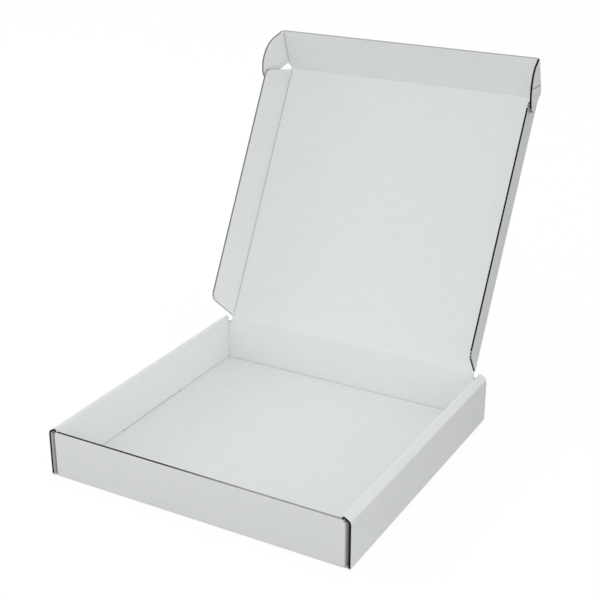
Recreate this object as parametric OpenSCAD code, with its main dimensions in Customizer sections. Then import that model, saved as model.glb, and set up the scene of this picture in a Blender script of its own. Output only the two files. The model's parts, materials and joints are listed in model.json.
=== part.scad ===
// Roll-end mailer box of white corrugated board, with its lid standing open.
// The tray is one folded blank: floor, front and back walls, side walls that roll over into a double wall.
// The lid, its side flaps, the tuck flap and the tuck flap's ears turn on creases.
// Millimetres, +Z up, front towards -Y. The origin is the middle of the tray's underside.

/* [Tray] */
// Outer width across the side walls
box_w = 327; // [260:1:420]
// Outer depth from front wall to back wall
box_d = 310; // [240:1:420]
// Height of the rolled side walls at their outer fold
wall_h = 50; // [45:1:80]
// Thickness of the corrugated board
board = 2; // [1.4:0.1:2.2]
// Width of a rolled side wall across its top
roll_w = 9.5; // [9:0.5:14]
// How much higher a rolled wall's inner fold stands than its outer fold
roll_rise = 3; // [0:0.5:4]
// Outer radius of the outer fold along a rolled wall's top
fold_r = 3; // [2.5:0.5:4]
// How far the front wall's top edge stays below the side walls
front_drop = 1; // [0:0.1:4]
// Outer radius where the front and back walls turn into the side walls
corner_r = 2.5; // [2.5:0.5:4]
// Length of the corner flaps that the side walls hold
corner_flap_len = 55; // [20:1:80]
// Length of the locking tab at the foot of each inner side panel
tab_len = 102; // [40:1:140]
// Free length of the floor slot past each end of its tab
tab_end = 2.5; // [1:0.5:6]

/* [Lid] */
// Gap from the side walls' inner faces to the lid's side creases
lid_side_gap = 5; // [4.5:0.1:8]
// Gap from the front wall to the closed tuck flap's crease
lid_front_gap = 8; // [7:0.25:16]
// Height of the lid's crease above the side walls
lid_rise = 1.5; // [1:0.1:4]
// Depth of the lid's side flaps
flap_w = 44.5; // [25:0.5:46]
// How much shorter a side flap is at each end of its free edge
flap_taper = 13.5; // [6:0.5:30]
// Radius of the side flaps' free corners
flap_corner_r = 9; // [4:0.5:12]
// Gap between the ends of a side flap's crease and the lid's ends
flap_end_gap = 3; // [2:0.5:10]

/* [Tuck flap] */
// Height of the tuck flap
tuck_h = 47; // [40:0.5:47]
// Length of the cut-away shoulder between the lid's crease and each ear
shoulder_h = 7.5; // [5:0.5:12]
// How far an ear reaches out from the tuck flap
ear_w = 46; // [38:0.5:50]
// Radius of an ear's lower corner
ear_corner_r = 8; // [4:0.5:10]

/* [Pose] */
// Angle of the lid from closed
lid_open = 118; // [100:1:170]
// Fold of the side flaps from flat
flap_fold = 81.5; // [70:0.5:92]
// Fold of the tuck flap from flat
tuck_fold = 46; // [20:1:90]
// Fold of the ears from flat
ear_fold = 82; // [60:0.5:82.5]

/* [Fit] */
// Gap between boards on either side of a moving crease
crease_gap = 0.2; // [0.15:0.05:0.3]
// Gap between boards that lie against each other
ply_gap = 0.4; // [0.2:0.1:0.6]
// How far the rolled walls' ends stay inside the front and back faces
end_set = 1; // [0.5:0.1:2]

/* [Hidden] */
$fn = 64;

half_w = box_w/2;
half_d = box_d/2;
crease_r = board/2;
crease_end = crease_r + crease_gap;

// Rolled side wall, measured from the middle of the box
panel_x = half_w - board;
inner_x = half_w - roll_w;
inner_len = box_d - 2*board - 2*ply_gap;
roll_back = half_d - end_set;

// Middles of the two folds along a rolled wall's top, and the direction its top strip faces
inner_fold_r = board + ply_gap/2;
outer_fold = [half_w - fold_r, wall_h - fold_r];
inner_fold = [inner_x + inner_fold_r, wall_h + roll_rise - inner_fold_r];
fold_span = outer_fold - inner_fold;
strip_turn = acos((inner_fold_r - fold_r)/norm(fold_span)) + atan2(fold_span[1], fold_span[0]);
strip_face = [cos(strip_turn), sin(strip_turn)];

// Front and back walls turn into the side walls at corner_x, under the rolled folds
corner_x = inner_x + 2*board + ply_gap;
flat_x = corner_x - corner_r;
front_x = inner_x - ply_gap;
front_h = min(wall_h - front_drop, inner_fold[1] - 2*ply_gap);
corner_foot = board + ply_gap;
corner_top = wall_h - fold_r - ply_gap;

// Creases of the lid
hinge_y = half_d - crease_r;
hinge_z = wall_h + lid_rise;
lid_x = inner_x - lid_side_gap;
lid_len = hinge_y + half_d - board - lid_front_gap;
lid_tilt = 180 - lid_open;
flap_slant = atan(flap_taper/flap_w);
flap_crease = lid_len - 2*flap_end_gap;

// Creases of the ears lie one board and a gap inside the side walls
ear_x = inner_x - ply_gap - board + crease_r - ply_gap/2;
ear_r = tuck_h - shoulder_h - ear_corner_r;

white_board = [0.86, 0.87, 0.87];

// A board of the given outline, centred on its own thickness
module sheet() {
    linear_extrude(height = board, center = true)
        children();
}

// Half-round end of a board along a crease that runs in Y
module crease_along_y(from, to) {
    translate([0, from, 0])
        rotate([-90, 0, 0])
            cylinder(r = crease_r, h = to - from);
}

// Half-round end of a board along a crease that runs in X
module crease_along_x(reach) {
    translate([-reach, 0, 0])
        rotate([0, 90, 0])
            cylinder(r = crease_r, h = 2*reach);
}

// Quarter of a rounded fold whose bend turns about the origin
module fold_quarter(turn) {
    intersection() {
        circle(r = board);
        rotate(turn)
            square(board);
    }
}

// Part of a wide fold at the top of a rolled wall, between two directions
module rolled_fold(radius, from, to) {
    reach = 3*radius;
    intersection() {
        difference() {
            circle(r = radius);
            circle(r = radius - board);
        }
        polygon([[0, 0], reach*[cos(from), sin(from)], reach*[cos(to), sin(to)]]);
    }
}

module both_sides() {
    children();
    mirror([1, 0, 0])
        children();
}

// Profile in X and Z, drawn out along Y
module along_y(from, to) {
    translate([0, to, 0])
        rotate([90, 0, 0])
            linear_extrude(height = to - from)
                children();
}

// Profile in Y and Z, drawn out along X on both sides of the middle
module along_x(reach) {
    translate([-reach, 0, 0])
        rotate([90, 0, 90])
            linear_extrude(height = 2*reach)
                children();
}

module floor_board() {
    difference() {
        translate([-panel_x, -half_d + board, 0])
            cube([2*panel_x, box_d - 2*board, board]);
        both_sides()
            translate([inner_x - ply_gap, -tab_len/2 - tab_end, -board])
                cube([board + 2*ply_gap, tab_len + 2*tab_end, 3*board]);
    }
}

// Outer panel, top strip and inner panel of the right-hand side wall
module rolled_wall() {
    along_y(-half_d + board, half_d - board) {
        translate([panel_x - board, 0])
            square(board);
        translate([panel_x, board])
            fold_quarter(-90);
    }
    along_y(-half_d, roll_back) {
        translate([panel_x, board])
            fold_quarter(-90);
        translate([panel_x, board])
            square([board, wall_h - board - fold_r]);
        translate(outer_fold)
            rolled_fold(fold_r, 0, strip_turn);
        polygon([
            outer_fold + fold_r*strip_face, inner_fold + inner_fold_r*strip_face,
            inner_fold + (inner_fold_r - board)*strip_face, outer_fold + (fold_r - board)*strip_face
        ]);
        translate(inner_fold)
            rolled_fold(inner_fold_r, strip_turn, 180);
        translate([inner_x, front_h + ply_gap])
            square([board, inner_fold[1] - front_h - ply_gap]);
    }
    along_y(-inner_len/2, inner_len/2)
        translate([inner_x, board + ply_gap])
            square([board, inner_fold[1] - board - ply_gap]);
    along_y(-tab_len/2, tab_len/2)
        translate([inner_x, 0])
            square([board, board + 2*ply_gap]);
}

// Fold and corner flap at the right-hand end of the front wall
module corner_flap() {
    translate([0, 0, corner_foot])
        linear_extrude(height = corner_top - corner_foot) {
            translate([front_x, -half_d])
                square([flat_x - front_x, board]);
            translate([flat_x, -half_d + corner_r])
                intersection() {
                    difference() {
                        circle(r = corner_r);
                        circle(r = corner_r - board);
                    }
                    rotate(-90)
                        square(corner_r);
                }
            translate([corner_x - board, -half_d + corner_r])
                square([board, corner_flap_len]);
        }
}

// Front wall of the given height with its fold to the floor and its corner flaps
module end_wall(height) {
    along_x(flat_x) {
        translate([-half_d, board])
            square([board, height - board]);
        translate([-half_d + board, board])
            fold_quarter(180);
        translate([-half_d + board, 0])
            square(board);
    }
    both_sides()
        corner_flap();
}

// Part of the back wall that carries the lid's crease
module hinge_edge() {
    translate([0, hinge_y, hinge_z])
        crease_along_x(lid_x);
    translate([-lid_x, half_d - board, corner_top - board])
        cube([2*lid_x, board, hinge_z - corner_top + board]);
}

module tray() {
    color(white_board) {
        floor_board();
        both_sides()
            rolled_wall();
        end_wall(front_h);
        mirror([0, 1, 0])
            end_wall(corner_top);
        hinge_edge();
    }
}

// Places a board that lies flat in X and Y, with its crease on the X axis, on the lid
module on_lid() {
    translate([0, hinge_y, hinge_z])
        rotate([lid_tilt, 0, 0])
            children();
}

module on_tuck() {
    on_lid()
        translate([0, lid_len, 0])
            rotate([tuck_fold, 0, 0])
                children();
}

module lid() {
    color(white_board)
        on_lid() {
            sheet()
                translate([-lid_x, crease_end])
                    square([2*lid_x, lid_len - crease_end]);
            both_sides()
                translate([lid_x, 0, 0])
                    crease_along_y(crease_end, lid_len - crease_r);
            translate([0, lid_len, 0])
                crease_along_x(lid_x - crease_r);
        }
}

// Side flap's outline from its crease outwards, tapered to a free edge with round corners
module side_flap_outline() {
    bend = (90 + flap_slant)/2;
    run = flap_corner_r/tan(bend);
    toe = [flap_w - run*cos(flap_slant), flap_taper - run*sin(flap_slant)];
    side = flap_taper + run;
    root = crease_end*tan(flap_slant);
    polygon([
        [crease_end, root], toe, [flap_w, side],
        [flap_w, flap_crease - side], [toe[0], flap_crease - toe[1]], [crease_end, flap_crease - root]
    ]);
    for (y = [side, flap_crease - side])
        translate([flap_w - flap_corner_r, y])
            circle(r = flap_corner_r);
}

module side_flap() {
    on_lid()
        translate([lid_x, flap_end_gap, 0])
            rotate([0, -flap_fold, 0])
                sheet()
                    side_flap_outline();
}

module right_side_flap() {
    color(white_board)
        side_flap();
}

module left_side_flap() {
    color(white_board)
        mirror([1, 0, 0])
            side_flap();
}

module tuck_flap() {
    color(white_board)
        on_tuck() {
            sheet()
                polygon([
                    [-lid_x + crease_r, crease_end], [lid_x - crease_r, crease_end],
                    [ear_x, shoulder_h], [ear_x, tuck_h], [-ear_x, tuck_h], [-ear_x, shoulder_h]
                ]);
            both_sides()
                translate([ear_x, 0, 0])
                    crease_along_y(shoulder_h + crease_r, tuck_h - crease_r);
        }
}

// Ear's outline from its crease outwards: a quarter round over a rounded lower corner
module ear_outline() {
    round_y = shoulder_h + ear_corner_r;
    intersection() {
        translate([ear_w - ear_r, round_y])
            circle(r = ear_r);
        translate([crease_end, round_y])
            square([ear_w, ear_r]);
    }
    translate([crease_end, shoulder_h])
        square([ear_w - ear_corner_r - crease_end, ear_corner_r]);
    translate([ear_w - ear_corner_r, round_y])
        circle(r = ear_corner_r);
}

module ear() {
    on_tuck()
        translate([ear_x, 0, 0])
            rotate([0, -ear_fold, 0])
                sheet()
                    ear_outline();
}

module right_ear() {
    color(white_board)
        ear();
}

module left_ear() {
    color(white_board)
        mirror([1, 0, 0])
            ear();
}

tray();
lid();
left_side_flap();
right_side_flap();
tuck_flap();
left_ear();
right_ear();
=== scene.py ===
"""White roll-end mailer box with its lid open: board finish, raw cut edges, creases and a plain studio."""

import json
import math

import bmesh
import bpy
from bpy.props import FloatProperty, FloatVectorProperty, IntProperty, PointerProperty
from mathutils import Matrix, Vector


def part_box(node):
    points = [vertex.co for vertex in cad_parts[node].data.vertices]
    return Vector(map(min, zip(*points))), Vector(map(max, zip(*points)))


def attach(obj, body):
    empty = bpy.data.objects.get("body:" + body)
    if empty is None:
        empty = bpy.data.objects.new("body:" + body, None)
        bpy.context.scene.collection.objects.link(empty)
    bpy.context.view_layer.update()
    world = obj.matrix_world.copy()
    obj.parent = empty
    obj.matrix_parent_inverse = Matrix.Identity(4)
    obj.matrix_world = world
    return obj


bl_info = {
    "name": "Mailer Box",
    "version": (1, 0, 0),
    "blender": (4, 5, 0),
    "location": "View3D > Sidebar > Mailer Box",
    "description": "Finishes the boards, raw edges and creases of a folded mailer box",
    "category": "Object",
}

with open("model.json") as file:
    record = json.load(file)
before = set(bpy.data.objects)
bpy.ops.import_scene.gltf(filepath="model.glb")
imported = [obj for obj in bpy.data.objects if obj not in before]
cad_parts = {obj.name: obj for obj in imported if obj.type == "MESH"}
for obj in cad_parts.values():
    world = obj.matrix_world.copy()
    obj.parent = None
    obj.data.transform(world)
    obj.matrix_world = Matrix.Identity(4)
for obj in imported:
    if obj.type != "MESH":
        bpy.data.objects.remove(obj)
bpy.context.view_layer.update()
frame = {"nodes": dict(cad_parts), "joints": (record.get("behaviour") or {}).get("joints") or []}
NODES = frame["nodes"]
HINGE = {joint["name"]: Vector(joint["pos_m"]) for joint in frame["joints"]}
TRAY_LOW, TRAY_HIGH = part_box("tray")

# Grain of the papers in metres: clouds in the liner, its fibres and the fuzz of a cut edge. The fibres are
# drawn coarser than they are, so that they show at all.
CLOUD, FIBRE = 0.009, 0.0008
FINE_FUZZ, FUZZ, COARSE_FUZZ, CREASE_GRAIN = 0.0006, 0.0008, 0.0012, 0.0015
WASHBOARD_DEPTH, FUZZ_DEPTH = 0.00001, 0.00005
# A sine band of the wave texture repeats after this length at a scale of one
WAVE_LENGTH = math.pi / 10
# From where to where, across the box, the die has pulled more and more liner over a raw edge
BURR_RUN, BURR_SHARE = (-0.035, 0.06), 0.72

# Liners, fluting and the dark sheet of painted shadow in the hollow of a raw edge that is cut across or along
# the flutes. Where the die came out of
# the board it has pulled the white liner over the edge, which is paler there.
EDGE_PAPERS = {
    "across": ("cut_liner_paper", "cut_fluting_paper", "flute_hollow"),
    "across, lipped": ("burred_liner_paper", "cut_fluting_paper", "flute_hollow"),
    "across, burred": ("burred_liner_paper", "burred_fluting_paper", "burred_fluting_paper"),
    "along": ("torn_fluting_paper", "torn_fluting_paper", "torn_fluting_paper"),
    "along, burred": ("burred_liner_paper", "burred_liner_paper", "burred_liner_paper"),
}
# Flutes that meet are joined within this distance, and points are told apart down to a smaller one
WELD, TINY = 0.00002, 1e-6
ARC_STEP = 4
# Sides of the round that a crease bead is cut from, the share of its size left at its ends, and the angle up
# to which it is shaded as one surface
BEAD_SIDES, BEAD_TIP, BEAD_SMOOTH = 20, (1, 0.3, 0.1), math.radians(50)

# Soft boxes of the studio: place and width
SOFT_BOXES = {
    "left": ((-2.1, -0.2, 1.0), 1.4),
    "right": ((2.1, -0.4, 0.8), 1.4),
    "near": ((1.0, -1.8, 0.8), 1.4),
    "low": ((0.0, -3.5, 0.3), 1.6),
}
LAMP_TARGET = Vector((0, 0, 0.1))
# The studio paper's middle, and how far from it the floor begins and ends to darken
PAPER_MIDDLE, PAPER_FADE = (-0.3, -1.2, 0), (0.5, 1.9)
FLOOR_WIDTH, FLOOR_DROP = 16, 0.0004
# Share and strength of the floor's white for the camera; the rest of it takes the box's shadow
FLOOR_WHITE, FLOOR_GLOW = 0.85, 1.05

CAMERA_PLACE = (0.566643, -0.962896, 0.637221)
CAMERA_DOWN, CAMERA_TURN = 23.047, 29.279
LENS, SENSOR = 75.213, 36.0


def linear(hex_colour):
    """Linear colour from an sRGB hex value."""
    parts = [int(hex_colour[i:i + 2], 16) / 255 for i in (1, 3, 5)]
    return [p / 12.92 if p <= 0.04045 else ((p + 0.055) / 1.055) ** 2.4 for p in parts]


def size(name, description, default, top=1.0):
    return FloatProperty(name=name, description=description, default=default, min=0.0, max=top,
                         precision=5, subtype="DISTANCE", unit="LENGTH")


def angle(name, description, degrees):
    return FloatProperty(name=name, description=description, default=math.radians(degrees),
                         min=0.0, max=math.pi, subtype="ANGLE", unit="ROTATION")


def colour(name, description, hex_colour):
    return FloatVectorProperty(name=name, description=description, default=linear(hex_colour),
                               min=0.0, max=1.0, size=3, subtype="COLOR")


def watts(name, description, power):
    return FloatProperty(name=name, description=description, default=power, min=0.0, max=500.0,
                         unit="POWER")


class BoardSizes(bpy.types.PropertyGroup):
    """Sizes of the board and of the panels whose edges are finished."""

    board: size("Board", "Thickness of the corrugated board", 0.002)
    liner: size("Liner", "Thickness of a liner as it shows on a raw edge", 0.00016)
    medium: size("Medium", "Thickness of the fluted paper on a raw edge", 0.0002)
    lip: size("Lip", "How far the papers stand out of a raw edge", 0.0003)
    flute: size("Flute", "Spacing of the flutes", 0.0033)
    flute_steps: IntProperty(name="Flute steps", description="Facets on one flute",
                             default=8, min=4, max=24)
    wander: size("Wander", "Length over which a cut along the flutes wanders across one", 0.026)
    bead: size("Bead", "Width of the bead that creasing leaves inside a fold", 0.0009)
    bead_height: size("Bead height", "How far the bead stands out of the board", 0.00018)
    bead_inset: size("Bead inset", "From a crease to the middle of its bead", 0.00175)
    crease_end: size("Crease end", "Where a flap's board starts, from its crease", 0.0012)
    half_width: size("Half width", "Half the tray's outer width", TRAY_HIGH.x)
    half_depth: size("Half depth", "Half the tray's outer depth", -TRAY_LOW.y)
    wall: size("Wall", "Height of the rolled side walls at their outer fold", 0.050)
    roll: size("Roll", "Width of a rolled wall across its top", 0.0095)
    roll_rise: size("Roll rise", "How much higher the inner fold of a rolled wall stands", 0.003)
    roll_fold: size("Roll fold", "Outer radius of a rolled wall's outer fold", 0.003)
    inner_fold: size("Inner fold", "Outer radius of a rolled wall's inner fold", 0.0022)
    ply_gap: size("Ply gap", "Gap between boards that lie against each other", 0.0004)
    roll_back: size("Roll back", "Depth of the roll's back end", 0.154)
    slot: size("Slot", "Length of the floor slots that the rolled walls' tabs stand in", 0.107)
    front_wall: size("Front wall", "Height of the front wall", 0.049)
    flat_half: size("Flat half", "Half the straight part of the front and back walls", 0.1559)
    # Painted shade: from here outwards the tray's front corners are greyed, for the shade in the recess
    # beside the rolled walls
    corner_shade_half: size("Corner shade half", "From the middle to where the front corners' liner is cracked", 0.1574)
    corner_top: size("Corner top", "Height of the back wall beside the lid's crease", 0.0466)
    lid_half: size("Lid half", "From the middle of the lid to its side creases",
                   HINGE["right_side_flap_hinge"].x)
    lid_length: size("Lid length", "From the back crease to the tuck crease",
                     (HINGE["tuck_flap_hinge"] - HINGE["lid_hinge"]).length)
    flap_width: size("Flap width", "Depth of a side flap", 0.0445)
    flap_taper: size("Flap taper", "How much shorter a side flap is at each end of its free edge", 0.0135)
    flap_corner: size("Flap corner", "Radius of a side flap's free corners", 0.009)
    flap_inset: size("Flap inset", "From the lid's ends to the ends of a side flap's crease", 0.003)
    tuck_height: size("Tuck height", "Height of the tuck flap", 0.047)
    shoulder: size("Shoulder", "Length of the cut-away between the tuck crease and each ear", 0.0075)
    ear_width: size("Ear width", "How far an ear reaches out", 0.046)
    ear_corner: size("Ear corner", "Radius of an ear's lower corner", 0.008)
    ear_half: size("Ear half", "From the middle of the tuck flap to an ear's crease",
                   HINGE["right_ear_hinge"].x)
    bend_low: size("Bend low", "Height of the right ear's bend line at its crease", 0.0172)
    bend_high: size("Bend high", "Height of the right ear's bend line at its raw edge", 0.0338)
    lid_tilt: angle("Lid tilt", "Lean of the open lid from level", 62)
    flap_fold: angle("Flap fold", "Fold of the side flaps from flat", 81.5)
    tuck_fold: angle("Tuck fold", "Fold of the tuck flap from flat", 46)
    ear_fold: angle("Ear fold", "Fold of the ears from flat", 82)


class BoardColours(bpy.types.PropertyGroup):
    """Colours of the papers and of the studio."""

    liner: colour("Liner", "Bleached liner paper", "#F2F4F4")
    mottle: colour("Mottle", "Thicker patches of the liner paper", "#EFF2F2")
    # Painted shade: the crease beads' grey stands in for the shade along the creases
    crease_shade: colour("Crease shade", "Liner paper pressed down by the creasing rule", "#CBCFCF")
    # Painted shade: grey for the shaded recess where the front wall turns into the rolled walls
    shade_painted: colour("Corner shade", "Liner paper cracked round the tight front corners", "#C8C8C6")
    cut: colour("Cut", "Liner papers seen on a raw edge", "#4B4946")
    medium: colour("Medium", "Fluted paper between the liners", "#37332D")
    # Painted shadow: the near-black of the flutes' hollow
    hollow_shadow: colour("Hollow shadow", "Inside of the flutes, in shadow", "#0E0D0C")
    torn: colour("Torn", "Fluted paper cut along its flutes", "#38332E")
    burr: colour("Burr", "Liner paper pulled over a raw edge by the die", "#C6C5C2")
    filled: colour("Filled", "Flutes closed by a pulled-over liner, or laid bare by a crack", "#888582")
    sweep: colour("Sweep", "Studio paper, as the camera sees it and in front of the box", "#F0F0F0")
    away: colour("Away", "Darker floor round the paper, as it throws light back", "#6C6C6C")


class StudioLight(bpy.types.PropertyGroup):
    """Strength of the plain soft light."""

    room: FloatProperty(name="Room", description="Even light from all round",
                        default=0.77, min=0.0, max=2.0)
    left: watts("Left", "Soft box on the left", 6.5)
    right: watts("Right", "Soft box on the right", 3.0)
    near: watts("Near", "Soft box beside the camera", 2.8)
    low: watts("Low", "Low soft box far out in front", 3.0)


def add_node(tree, kind, settings=None, links=None):
    """Adds a node, sets its settings and input values, and links sockets into its inputs."""
    node = tree.nodes.new(kind)
    for key, value in (settings or {}).items():
        if isinstance(key, str) and hasattr(node, key):
            setattr(node, key, value)
        else:
            node.inputs[key].default_value = value
    for key, socket in (links or {}).items():
        tree.links.new(socket, node.inputs[key])
    return node


def new_material(name):
    material = bpy.data.materials.new(name)
    material.use_nodes = True
    material.node_tree.nodes.clear()
    return material


def seen_directly(tree):
    """One for rays of the camera and for those that a shiny or clear surface sends on, else nought."""
    path = add_node(tree, "ShaderNodeLightPath").outputs
    direct = add_node(tree, "ShaderNodeMath", {"operation": "MAXIMUM"},
                      {0: path["Is Camera Ray"], 1: path["Is Glossy Ray"]}).outputs["Value"]
    return add_node(tree, "ShaderNodeMath", {"operation": "MAXIMUM"},
                    {0: direct, 1: path["Is Transmission Ray"]}).outputs["Value"]


def liner_material(name, colours, flute, turn, patches=()):
    """Bleached kraft liner, machine finished and glued over flutes: a matt cool white, a little cloudy
    where the paper is thicker, with fine fibres and the faint washboard that the flutes press through.
    Each patch is a colour and a box, alike on the left and right, in which that colour is painted over the
    paper, as painted shade or as the cut board."""
    material = new_material(name)
    tree = material.node_tree
    where = add_node(tree, "ShaderNodeTexCoord").outputs["Object"]
    turned = add_node(tree, "ShaderNodeMapping", {"Rotation": turn}, {"Vector": where}).outputs["Vector"]
    board = add_node(tree, "ShaderNodeTexWave",
                     {"wave_type": "BANDS", "bands_direction": "Y", "Scale": WAVE_LENGTH / flute,
                      "Distortion": 0.6, "Detail": 1.0, "Detail Scale": 0.4},
                     {"Vector": turned}).outputs["Fac"]
    cloud = add_node(tree, "ShaderNodeTexNoise", {"Scale": 1 / CLOUD, "Detail": 4.0, "Roughness": 0.6},
                     {"Vector": where}).outputs["Fac"]
    fibre = add_node(tree, "ShaderNodeTexNoise",
                     {"Scale": 1 / FIBRE, "Detail": 3.0, "Roughness": 0.7, "Distortion": 1.2},
                     {"Vector": where}).outputs["Fac"]
    share = add_node(tree, "ShaderNodeMapRange", {"From Min": 0.35, "From Max": 0.65},
                     {"Value": cloud}).outputs["Result"]
    paper = add_node(tree, "ShaderNodeMix",
                     {"data_type": "RGBA", 6: (*colours.mottle, 1), 7: (*colours.liner, 1)},
                     {0: share}).outputs[2]
    place = add_node(tree, "ShaderNodeSeparateXYZ", None, {0: where}).outputs
    aside = add_node(tree, "ShaderNodeMath", {"operation": "ABSOLUTE"}, {0: place["X"]}).outputs["Value"]
    # Each patch paints its colour over the paper, painted shade among them
    for patch_colour, *spans in patches:
        inside = None
        for (low, high), across in zip(spans, (aside, place["Y"], place["Z"])):
            within = add_node(tree, "ShaderNodeMath",
                              {"operation": "COMPARE", 1: (low + high) / 2, 2: (high - low) / 2},
                              {0: across}).outputs["Value"]
            inside = within if inside is None else add_node(
                tree, "ShaderNodeMath", {"operation": "MULTIPLY"}, {0: inside, 1: within}).outputs["Value"]
        paper = add_node(tree, "ShaderNodeMix", {"data_type": "RGBA", 7: (*patch_colour, 1)},
                         {0: inside, 6: paper}).outputs[2]
    grain = add_node(tree, "ShaderNodeMapRange",
                     {"From Min": 0.3, "From Max": 0.7, "To Min": 0.982, "To Max": 1.012},
                     {"Value": fibre}).outputs["Result"]
    shade = add_node(tree, "ShaderNodeMix", {"data_type": "RGBA", "blend_type": "MULTIPLY", 0: 1.0},
                     {6: paper, 7: grain}).outputs[2]
    dull = add_node(tree, "ShaderNodeMapRange", {"To Min": 0.68, "To Max": 0.82},
                    {"Value": fibre}).outputs["Result"]
    relief = add_node(tree, "ShaderNodeMath", {"operation": "MULTIPLY_ADD", 1: 0.35},
                      {0: fibre, 2: board}).outputs["Value"]
    normal = add_node(tree, "ShaderNodeBump", {"Strength": 0.5, "Distance": WASHBOARD_DEPTH},
                      {"Height": relief}).outputs["Normal"]
    shader = add_node(tree, "ShaderNodeBsdfPrincipled", {"IOR": 1.5, "Specular IOR Level": 0.3},
                      {"Base Color": shade, "Roughness": dull, "Normal": normal})
    add_node(tree, "ShaderNodeOutputMaterial", None, {"Surface": shader.outputs["BSDF"]})
    return material


def fluting_material(name, paper, grit, depth, burr=None):
    """Recycled fluting paper where the die has cut it: brown-grey, dull and fuzzy with short torn fibres.
    With a burr the white liner covers more and more of it towards the right-hand side."""
    material = new_material(name)
    tree = material.node_tree
    where = add_node(tree, "ShaderNodeTexCoord").outputs["Object"]
    fibre = add_node(tree, "ShaderNodeTexNoise", {"Scale": 1 / grit, "Detail": 5.0, "Roughness": 0.7},
                     {"Vector": where}).outputs["Fac"]
    spread = add_node(tree, "ShaderNodeMapRange",
                      {"From Min": 0.3, "From Max": 0.7, "To Min": 1 - depth, "To Max": 1 + depth},
                      {"Value": fibre}).outputs["Result"]
    shade = add_node(tree, "ShaderNodeMix",
                     {"data_type": "RGBA", "blend_type": "MULTIPLY", 0: 1.0, 6: (*paper, 1)},
                     {7: spread}).outputs[2]
    if burr:
        right = add_node(tree, "ShaderNodeSeparateXYZ", None, {0: where}).outputs["X"]
        cover = add_node(tree, "ShaderNodeMapRange",
                         {"From Min": BURR_RUN[0], "From Max": BURR_RUN[1], "To Max": BURR_SHARE},
                         {"Value": right}).outputs["Result"]
        shade = add_node(tree, "ShaderNodeMix", {"data_type": "RGBA", 7: (*burr, 1)},
                         {0: cover, 6: shade}).outputs[2]
    dull = add_node(tree, "ShaderNodeMapRange", {"To Min": 0.85, "To Max": 0.98},
                    {"Value": fibre}).outputs["Result"]
    normal = add_node(tree, "ShaderNodeBump", {"Strength": 0.6, "Distance": FUZZ_DEPTH},
                      {"Height": fibre}).outputs["Normal"]
    shader = add_node(tree, "ShaderNodeBsdfPrincipled", {"IOR": 1.5, "Specular IOR Level": 0.15},
                      {"Base Color": shade, "Roughness": dull, "Normal": normal})
    add_node(tree, "ShaderNodeOutputMaterial", None, {"Surface": shader.outputs["BSDF"]})
    return material


def lid_frame(sizes):
    return Matrix.Translation(HINGE["lid_hinge"]) @ Matrix.Rotation(sizes.lid_tilt, 4, "X")


def tuck_frame(sizes):
    shift = Matrix.Translation((0, sizes.lid_length, 0))
    return lid_frame(sizes) @ shift @ Matrix.Rotation(sizes.tuck_fold, 4, "X")


def flap_frame(sizes, side):
    shift = Matrix.Translation((side * sizes.lid_half, sizes.flap_inset, 0))
    return lid_frame(sizes) @ shift @ Matrix.Rotation(-side * sizes.flap_fold, 4, "Y")


def ear_frame(sizes, side):
    shift = Matrix.Translation((side * sizes.ear_half, 0, 0))
    return tuck_frame(sizes) @ shift @ Matrix.Rotation(-side * sizes.ear_fold, 4, "Y")


def edge_frame(start, along, outward):
    """Frame of a straight raw edge: X along it, -Y out of it."""
    x, y = Vector(along).normalized(), -Vector(outward).normalized()
    turn = Matrix((x, y, x.cross(y))).transposed().to_4x4()
    return Matrix.Translation(start) @ turn


def arc(centre, radius, start, end):
    """Points on an arc at about every few degrees, with angles in degrees."""
    steps = math.ceil(abs(end - start) / ARC_STEP)
    turns = [math.radians(start + (end - start) * i / steps) for i in range(steps + 1)]
    return [(centre[0] + radius * math.cos(t), centre[1] + radius * math.sin(t)) for t in turns]


def flap_outline(sizes):
    """Side flap's raw edge from the back end of its crease round to the front end."""
    slant = math.atan2(sizes.flap_taper, sizes.flap_width)
    run = sizes.flap_corner / math.tan((math.pi / 2 + slant) / 2)
    crease = sizes.lid_length - 2 * sizes.flap_inset
    near = sizes.flap_taper + run
    root = sizes.crease_end * math.tan(slant)
    hub = sizes.flap_width - sizes.flap_corner
    low = arc((hub, near), sizes.flap_corner, math.degrees(slant) - 90, 0)
    high = arc((hub, crease - near), sizes.flap_corner, 0, 90 - math.degrees(slant))
    return [(sizes.crease_end, root)] + low + high + [(sizes.crease_end, crease - root)]


def ear_arc(sizes):
    """Height at which an ear's large arc starts, and its radius."""
    rise = sizes.shoulder + sizes.ear_corner
    return rise, sizes.tuck_height - rise


def ear_outline(sizes):
    """Ear's raw edge from the shoulder round to the tuck flap's free edge."""
    rise, reach = ear_arc(sizes)
    low = arc((sizes.ear_width - sizes.ear_corner, rise), sizes.ear_corner, -90, 0)
    high = arc((sizes.ear_width - reach, rise), reach, 0, 90)
    return [(sizes.crease_end, sizes.shoulder)] + low + high[1:] + [(sizes.crease_end, sizes.tuck_height)]


def roll_profile(sizes):
    """Middle of the board round a rolled wall: outer panel, two folds with a strip between, inner panel."""
    mid = sizes.board / 2
    outer = Vector((sizes.half_width - sizes.roll_fold, sizes.wall - sizes.roll_fold))
    inner = Vector((sizes.half_width - sizes.roll + sizes.inner_fold,
                    sizes.wall + sizes.roll_rise - sizes.inner_fold))
    span = outer - inner
    lean = math.acos((sizes.inner_fold - sizes.roll_fold) / span.length)
    turn = math.degrees(lean + math.atan2(span.y, span.x))
    folds = arc(outer, sizes.roll_fold - mid, 0, turn) + arc(inner, sizes.inner_fold - mid, turn, 180)
    foot = (sizes.half_width - mid, sizes.board)
    end = (folds[-1][0], sizes.front_wall + sizes.ply_gap)
    return [foot] + folds + [end]


def mirrored(path):
    return [(-x, y) for x, y in reversed(path)]


def pick(mesh, test):
    """Selects the vertices that pass a test, in edit mode."""
    shape = bmesh.from_edit_mesh(mesh)
    for vert in shape.verts:
        vert.select_set(test(vert.co))
    shape.select_flush(True)
    bmesh.update_edit_mesh(mesh)


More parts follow.
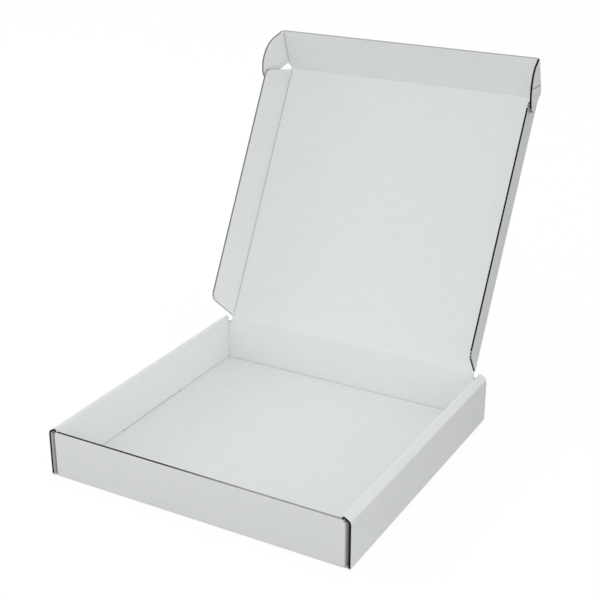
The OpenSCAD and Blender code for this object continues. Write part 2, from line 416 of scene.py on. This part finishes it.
def model_flute(sizes):
    """Models one flute of a raw edge: a waved paper between two liners in front of a dark sheet of painted
    shadow in the hollow.
    X runs along the edge, -Y out of it and Z through the board."""
    steps = sizes.flute_steps
    bpy.ops.object.select_all(action="DESELECT")
    bpy.ops.mesh.primitive_grid_add(x_subdivisions=steps, y_subdivisions=1, size=1,
                                    rotation=(math.pi / 2, 0, 0))
    flute = bpy.context.object
    flute.name = "one_flute"
    bpy.ops.object.transform_apply(location=True, rotation=True, scale=True)
    swing = sizes.board / 2 - sizes.liner - sizes.medium / 2
    bpy.ops.object.mode_set(mode="EDIT")
    bpy.ops.transform.resize(value=(1, 1, sizes.medium), center_override=(0, 0, 0))
    for i in range(steps + 1):
        x = i / steps - 0.5
        pick(flute.data, lambda co: abs(co.x - x) < 0.25 / steps)
        bpy.ops.transform.translate(value=(0, 0, swing * math.cos(2 * math.pi * i / steps)))
    bpy.ops.mesh.select_all(action="SELECT")
    bpy.ops.transform.translate(value=(0, -sizes.lip, 0))
    bpy.ops.mesh.extrude_region_move(TRANSFORM_OT_translate={"value": (0, sizes.lip, 0)})
    bpy.ops.mesh.select_all(action="SELECT")
    bpy.ops.mesh.normals_make_consistent(inside=False)
    for side in (-1, 1):
        bpy.ops.mesh.select_all(action="DESELECT")
        bpy.ops.mesh.primitive_cube_add(size=1)
        bpy.ops.transform.resize(value=(1, sizes.lip, sizes.liner), center_override=(0, 0, 0))
        bpy.ops.transform.translate(value=(0, -sizes.lip / 2, side * (sizes.board - sizes.liner) / 2))
    bpy.ops.mesh.select_all(action="DESELECT")
    bpy.ops.mesh.primitive_cube_add(size=1)
    bpy.ops.transform.resize(value=(1, sizes.lip / 3, sizes.board - 2 * sizes.liner),
                             center_override=(0, 0, 0))
    bpy.ops.transform.translate(value=(0, -sizes.lip / 6, 0))
    bpy.ops.mesh.select_all(action="SELECT")
    bpy.ops.transform.translate(value=(0.5, 0, 0))
    shape = bmesh.from_edit_mesh(flute.data)
    for face in shape.faces:
        depth = [abs(v.co.z) for v in face.verts]
        flat = all(abs(v.co.y + sizes.lip / 3) < TINY for v in face.verts)
        face.material_index = 2 if flat else (0 if min(depth) > sizes.board / 2 - sizes.liner - TINY else 1)
    bmesh.update_edit_mesh(flute.data)
    bpy.ops.object.mode_set(mode="OBJECT")
    return flute


def raw_edge(name, body, path, place, pitch, cut, sizes, rolled=False):
    """Runs copies of one flute along a path and sets them in place on a body. The path lies in the board's
    plane and the papers stand out of its right-hand side; for a rolled board's end it is the roll's profile
    and they stand out of the profile's plane."""
    length = sum(math.dist(a, b) for a, b in zip(path, path[1:]))
    count = max(1, round(length / pitch))
    edge = model_flute(sizes)
    edge.name = edge.data.name = name
    guide = bpy.data.objects.new(name + "_guide", bpy.data.curves.new(name + "_guide", "CURVE"))
    guide.data.dimensions = "2D"
    spline = guide.data.splines.new("POLY")
    spline.points.add(len(path) - 1)
    for point, (x, y) in zip(spline.points, path):
        point.co = (x, y, 0, 1)
    bpy.context.scene.collection.objects.link(guide)
    edge.scale = (length / count, 1, 1)
    edge.rotation_euler = (-math.pi / 2 if rolled else 0, 0, 0)
    bpy.ops.object.transform_apply(location=True, rotation=True, scale=True)
    repeat = edge.modifiers.new("flutes", "ARRAY")
    repeat.count = count
    repeat.use_relative_offset = False
    repeat.use_constant_offset = True
    repeat.constant_offset_displace = (length / count, 0, 0)
    repeat.use_merge_vertices = True
    repeat.merge_threshold = WELD
    follow = edge.modifiers.new("outline", "CURVE")
    follow.object = guide
    bpy.ops.object.modifier_apply(modifier=repeat.name)
    # The papers run on from flute to flute, and are closed only at the ends of the edge
    bpy.ops.object.mode_set(mode="EDIT")
    bpy.ops.mesh.select_all(action="DESELECT")
    shape = bmesh.from_edit_mesh(edge.data)
    for face in shape.faces:
        inside = WELD < face.calc_center_median().x < length - WELD
        face.select_set(inside and abs(face.normal.x) > 0.99)
    bmesh.update_edit_mesh(edge.data)
    bpy.ops.mesh.delete(type="FACE")
    bpy.ops.object.mode_set(mode="OBJECT")
    bpy.ops.object.modifier_apply(modifier=follow.name)
    bpy.data.objects.remove(guide)
    edge.matrix_world = place
    bpy.ops.object.transform_apply(location=True, rotation=True, scale=True)
    for paper in EDGE_PAPERS[cut]:
        edge.data.materials.append(bpy.data.materials[paper])
    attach(edge, body)


def crease_bead(name, body, place, length, sizes, paper="creased_liner"):
    """Models the low bead along the inside of a crease, running out at both ends. X runs along it and Z
    out of the board."""
    bpy.ops.object.select_all(action="DESELECT")
    bpy.ops.mesh.primitive_cylinder_add(vertices=BEAD_SIDES, radius=sizes.bead / 2, depth=length,
                                        rotation=(0, math.pi / 2, 0))
    bead = bpy.context.object
    bead.name = bead.data.name = name
    bpy.ops.object.transform_apply(location=True, rotation=True, scale=True)
    bpy.ops.object.mode_set(mode="EDIT")
    bpy.ops.mesh.select_all(action="SELECT")
    bpy.ops.mesh.bisect(plane_co=(0, 0, 0), plane_no=(0, 0, 1), clear_inner=True, use_fill=True)
    for end in (-1, 1):
        bpy.ops.mesh.select_all(action="SELECT")
        bpy.ops.mesh.bisect(plane_co=(end * (length / 2 - 2 * sizes.bead), 0, 0), plane_no=(1, 0, 0))
        pick(bead.data, lambda co: end * co.x > length / 2 - sizes.bead)
        bpy.ops.transform.resize(value=BEAD_TIP, center_override=(0, 0, 0))
    bpy.ops.mesh.select_all(action="SELECT")
    bpy.ops.transform.resize(value=(1, 1, 2 * sizes.bead_height / sizes.bead), center_override=(0, 0, 0))
    bpy.ops.object.mode_set(mode="OBJECT")
    bpy.ops.object.shade_smooth_by_angle(angle=BEAD_SMOOTH)
    bead.matrix_world = place
    bpy.ops.object.transform_apply(location=True, rotation=True, scale=True)
    # With the default paper, the bead's grey paints the shade along the crease
    bead.data.materials.append(bpy.data.materials[paper])
    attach(bead, body)


class MAILER_OT_board_finish(bpy.types.Operator):
    """Makes the paper materials and gives every folded board its white liner."""

    bl_idname = "mailer.board_finish"
    bl_label = "Board finish"

    def execute(self, context):
        sizes, colours = context.scene.mailer_sizes, context.scene.mailer_colours
        # The flutes run across the box, so their lines repeat along its depth and up the front wall
        tilt = {"tray": 0.0, "lid": sizes.lid_tilt, "tuck": sizes.lid_tilt + sizes.tuck_fold}
        inner, fine = sizes.half_width - sizes.roll, sizes.board / 40
        # Painted shade: the liner is greyed where the front wall turns into the rolled walls, for the shade
        # in that recess
        corners = (colours.shade_painted, (sizes.corner_shade_half, sizes.half_width - sizes.board - 4 * fine),
                   (-sizes.half_depth - fine, sizes.roll - sizes.half_depth), (0, sizes.front_wall))
        # The slots for the rolled walls' tabs show the cut board on their raw edges; the same colour on the
        # tabs' white faces inside the slots is painted shade
        reach = sizes.slot / 2 + fine
        slots = (colours.torn, (inner - sizes.ply_gap - fine, inner + sizes.board + sizes.ply_gap + fine),
                 (-reach, reach), (fine, sizes.board - fine))
        for panel, turn in tilt.items():
            liner_material("bleached_liner_" + panel, colours, sizes.flute, (-turn, 0, 0),
                           (corners, slots) if panel == "tray" else ())
        fluting_material("cut_liner_paper", colours.cut, FUZZ, 0.2)
        fluting_material("cut_fluting_paper", colours.medium, FINE_FUZZ, 0.25)
        # Painted shadow: a near-black sheet stands in the flutes' hollow
        fluting_material("flute_hollow", colours.hollow_shadow, 1.5 * FINE_FUZZ, 0.3)
        fluting_material("torn_fluting_paper", colours.torn, COARSE_FUZZ, 0.35, colours.burr)
        fluting_material("burred_liner_paper", colours.burr, COARSE_FUZZ, 0.15)
        fluting_material("burred_fluting_paper", colours.filled, FUZZ, 0.25)
        # Painted shade along the creases and at the foot of the back wall, on the beads
        fluting_material("creased_liner", colours.crease_shade, CREASE_GRAIN, 0.04)
        panels = {"tray": ["tray"], "lid": ["lid", "left_side_flap", "right_side_flap"],
                  "tuck": ["tuck_flap", "left_ear", "right_ear"]}
        for panel, nodes in panels.items():
            for node in nodes:
                NODES[node].data.materials.clear()
                NODES[node].data.materials.append(bpy.data.materials["bleached_liner_" + panel])
        return {"FINISHED"}


class MAILER_OT_tray_edges(bpy.types.Operator):
    """Models the raw edges of the tray: the front wall's top and the ends of the rolled walls."""

    bl_idname = "mailer.tray_edges"
    bl_label = "Tray raw edges"

    def execute(self, context):
        sizes = context.scene.mailer_sizes
        mid = sizes.board / 2
        place = edge_frame((-sizes.flat_half, mid - sizes.half_depth, sizes.front_wall), (1, 0, 0), (0, 0, 1))
        raw_edge("front_wall_raw_edge", "tray", [(0, 0), (2 * sizes.flat_half, 0)], place, sizes.wander,
                 "along", sizes)
        profile = roll_profile(sizes)
        front = Matrix(((1, 0, 0, 0), (0, 0, -1, -sizes.half_depth), (0, 1, 0, 0), (0, 0, 0, 1)))
        back = Matrix(((-1, 0, 0, 0), (0, 0, 1, sizes.roll_back), (0, 1, 0, 0), (0, 0, 0, 1)))
        for name, side in (("left", -1), ("right", 1)):
            for end, place, turn in (("front", front, side), ("back", back, -side)):
                path = profile if turn > 0 else mirrored(profile)
                raw_edge(f"{name}_roll_{end}_raw_edge", "tray", path, place, sizes.flute, "across", sizes,
                         rolled=True)
            start, stop = sorted((side * sizes.lid_half, side * sizes.flat_half))
            place = edge_frame((start, sizes.half_depth - mid, sizes.corner_top), (1, 0, 0), (0, 0, 1))
            raw_edge(f"{name}_back_wall_raw_edge", "tray", [(0, 0), (stop - start, 0)], place, sizes.wander,
                     "along, burred", sizes)
        return {"FINISHED"}


class MAILER_OT_flap_edges(bpy.types.Operator):
    """Models the raw edges round the lid's side flaps."""

    bl_idname = "mailer.flap_edges"
    bl_label = "Side flap raw edges"

    def execute(self, context):
        sizes = context.scene.mailer_sizes
        outline = flap_outline(sizes)
        sides = (("left", -1, mirrored(outline), "across, burred"), ("right", 1, outline, "across, lipped"))
        for name, side, path, cut in sides:
            raw_edge(name + "_flap_raw_edge", name + "_side_flap", path, flap_frame(sizes, side),
                     sizes.flute, cut, sizes)
        return {"FINISHED"}


class MAILER_OT_tuck_edges(bpy.types.Operator):
    """Models the raw edges of the tuck flap and round its ears."""

    bl_idname = "mailer.tuck_edges"
    bl_label = "Tuck flap raw edges"

    def execute(self, context):
        sizes = context.scene.mailer_sizes
        path = [(sizes.ear_half, sizes.tuck_height), (-sizes.ear_half, sizes.tuck_height)]
        raw_edge("tuck_raw_edge", "tuck_flap", path, tuck_frame(sizes), sizes.wander, "along, burred", sizes)
        outline = ear_outline(sizes)
        shoulder = [(sizes.lid_half, 2 * sizes.crease_end), (sizes.ear_half, sizes.shoulder)]
        sides = (("left", -1, mirrored(outline), mirrored(shoulder), "across, burred"),
                 ("right", 1, outline, shoulder, "across"))
        for name, side, ear, step, cut in sides:
            raw_edge(name + "_shoulder_raw_edge", "tuck_flap", step, tuck_frame(sizes), sizes.flute, cut,
                     sizes)
            raw_edge(name + "_ear_raw_edge", name + "_ear", ear, ear_frame(sizes, side), sizes.flute, cut,
                     sizes)
        return {"FINISHED"}


class MAILER_OT_crease_beads(bpy.types.Operator):
    """Models the beads inside the creases of the side flaps and ears and at the foot of the back wall, and
    the bend line outside the right ear."""

    bl_idname = "mailer.crease_beads"
    bl_label = "Crease beads"

    def execute(self, context):
        sizes = context.scene.mailer_sizes
        quarter = Matrix.Rotation(math.pi / 2, 4, "Z")
        face = sizes.board / 2
        flap = sizes.lid_length - 2 * sizes.flap_inset
        ear = sizes.tuck_height - sizes.shoulder - sizes.board
        middle = (sizes.tuck_height + sizes.shoulder) / 2
        for name, side in (("left", -1), ("right", 1)):
            beside = side * (sizes.lid_half - sizes.bead_inset)
            place = lid_frame(sizes) @ Matrix.Translation((beside, sizes.lid_length / 2, face))
            crease_bead(name + "_flap_crease", "lid", place @ quarter, flap, sizes)
            beside = side * (sizes.ear_half - sizes.bead_inset)
            place = tuck_frame(sizes) @ Matrix.Translation((beside, middle, face))
            crease_bead(name + "_ear_crease", "tuck_flap", place @ quarter, ear, sizes)
        # The right ear has been bent along a line, which has cracked the liner outside
        rise, reach = ear_arc(sizes)
        across = sizes.ear_width - reach + math.sqrt(reach ** 2 - (sizes.bend_high - rise) ** 2)
        start = Vector((sizes.crease_end + sizes.bead, sizes.bend_low))
        run = Vector((across - sizes.bead, sizes.bend_high)) - start
        turn = Matrix.Rotation(math.atan2(run.y, run.x), 4, "Z") @ Matrix.Rotation(math.pi, 4, "X")
        place = ear_frame(sizes, 1) @ Matrix.Translation((*(start + run / 2), -face)) @ turn
        crease_bead("right_ear_bend", "right_ear", place, run.length, sizes, "burred_fluting_paper")
        # Its grey paints the shade in the corner at the foot of the back wall
        place = Matrix.Translation((0, sizes.half_depth - sizes.board - sizes.bead / 2, sizes.board))
        crease_bead("back_foot_crease", "tray", place, 2 * sizes.lid_half, sizes)
        return {"FINISHED"}


class MAILER_OT_stage(bpy.types.Operator):
    """Sets a pale floor, even room light with four soft boxes, and the camera."""

    bl_idname = "mailer.stage"
    bl_label = "Stage"

    def execute(self, context):
        scene, light, colours = context.scene, context.scene.mailer_light, context.scene.mailer_colours
        scene.view_settings.view_transform = "Standard"
        bpy.ops.object.select_all(action="DESELECT")
        bpy.ops.mesh.primitive_plane_add(size=FLOOR_WIDTH, location=(0, 0, -FLOOR_DROP))
        floor = context.object
        floor.name = "studio_floor"
        bpy.ops.object.transform_apply(location=True, rotation=True, scale=True)
        # Matt paper sweep, seen almost as white as the air round it so that only a soft shadow is left; it
        # lies in front of the box and throws light back there, on a floor that is darker further off
        material = new_material("studio_paper")
        tree = material.node_tree
        seen = seen_directly(tree)
        where = add_node(tree, "ShaderNodeTexCoord").outputs["Object"]
        far = add_node(tree, "ShaderNodeVectorMath", {"operation": "DISTANCE", 1: PAPER_MIDDLE}, {0: where})
        spread = add_node(tree, "ShaderNodeMapRange", {"From Min": PAPER_FADE[0], "From Max": PAPER_FADE[1]},
                          {"Value": far.outputs["Value"]})
        fade = add_node(tree, "ShaderNodeMath", {"operation": "SUBTRACT", "use_clamp": True},
                        {0: spread.outputs["Result"], 1: seen})
        paper = add_node(tree, "ShaderNodeMix",
                         {"data_type": "RGBA", 6: (*colours.sweep, 1), 7: (*colours.away, 1)},
                         {0: fade.outputs["Value"]})
        matt = add_node(tree, "ShaderNodeBsdfDiffuse", None, {"Color": paper.outputs[2]})
        glow = add_node(tree, "ShaderNodeEmission", {"Strength": FLOOR_GLOW})
        share = add_node(tree, "ShaderNodeMath", {"operation": "MULTIPLY", 1: FLOOR_WHITE}, {0: seen})
        both = add_node(tree, "ShaderNodeMixShader", None,
                        {0: share.outputs["Value"], 1: matt.outputs["BSDF"], 2: glow.outputs["Emission"]})
        add_node(tree, "ShaderNodeOutputMaterial", None, {"Surface": both.outputs["Shader"]})
        floor.data.materials.append(material)

        world = bpy.data.worlds.new("studio_room")
        world.use_nodes = True
        tree = world.node_tree
        tree.nodes.clear()
        room = add_node(tree, "ShaderNodeBackground", {"Color": (1, 1, 1, 1), "Strength": light.room})
        white = add_node(tree, "ShaderNodeBackground", {"Color": (1, 1, 1, 1), "Strength": 1.0})
        both = add_node(tree, "ShaderNodeMixShader", None,
                        {0: seen_directly(tree), 1: room.outputs["Background"],
                         2: white.outputs["Background"]})
        add_node(tree, "ShaderNodeOutputWorld", None, {"Surface": both.outputs["Shader"]})
        scene.world = world

        for name, (place, width) in SOFT_BOXES.items():
            lamp = bpy.data.lights.new(name + "_soft_box", "AREA")
            lamp.shape, lamp.size, lamp.energy = "DISK", width, getattr(light, name)
            box = bpy.data.objects.new(name + "_soft_box", lamp)
            box.location = place
            box.rotation_euler = (LAMP_TARGET - box.location).to_track_quat("-Z", "Y").to_euler()
            box.visible_camera = False
            scene.collection.objects.link(box)

        lens = bpy.data.cameras.new("camera")
        lens.lens, lens.sensor_width, lens.sensor_fit = LENS, SENSOR, "HORIZONTAL"
        lens.clip_start, lens.clip_end = 0.05, 50.0
        camera = bpy.data.objects.new("camera", lens)
        camera.location = CAMERA_PLACE
        camera.rotation_euler = (math.radians(90 - CAMERA_DOWN), 0, math.radians(CAMERA_TURN))
        scene.collection.objects.link(camera)
        scene.camera = camera
        return {"FINISHED"}


class MAILER_PT_panel(bpy.types.Panel):
    """Lists the box's operators and its sizes."""

    bl_idname = "MAILER_PT_panel"
    bl_label = "Mailer Box"
    bl_space_type = "VIEW_3D"
    bl_region_type = "UI"
    bl_category = "Mailer Box"

    def draw(self, context):
        for operator in STEPS:
            self.layout.operator(operator.bl_idname)
        for group in (context.scene.mailer_sizes, context.scene.mailer_colours, context.scene.mailer_light):
            for name in group.__annotations__:
                self.layout.prop(group, name)


STEPS = (MAILER_OT_board_finish, MAILER_OT_tray_edges, MAILER_OT_flap_edges, MAILER_OT_tuck_edges,
         MAILER_OT_crease_beads, MAILER_OT_stage)
CLASSES = (BoardSizes, BoardColours, StudioLight, *STEPS, MAILER_PT_panel)


def register():
    for cls in CLASSES:
        bpy.utils.register_class(cls)
    bpy.types.Scene.mailer_sizes = PointerProperty(type=BoardSizes)
    bpy.types.Scene.mailer_colours = PointerProperty(type=BoardColours)
    bpy.types.Scene.mailer_light = PointerProperty(type=StudioLight)


def unregister():
    for name in ("mailer_sizes", "mailer_colours", "mailer_light"):
        delattr(bpy.types.Scene, name)
    for cls in reversed(CLASSES):
        bpy.utils.unregister_class(cls)


def main():
    register()
    bpy.ops.mailer.board_finish()
    bpy.ops.mailer.tray_edges()
    bpy.ops.mailer.flap_edges()
    bpy.ops.mailer.tuck_edges()
    bpy.ops.mailer.crease_beads()
    bpy.ops.mailer.stage()


if __name__ == "__main__":
    main()
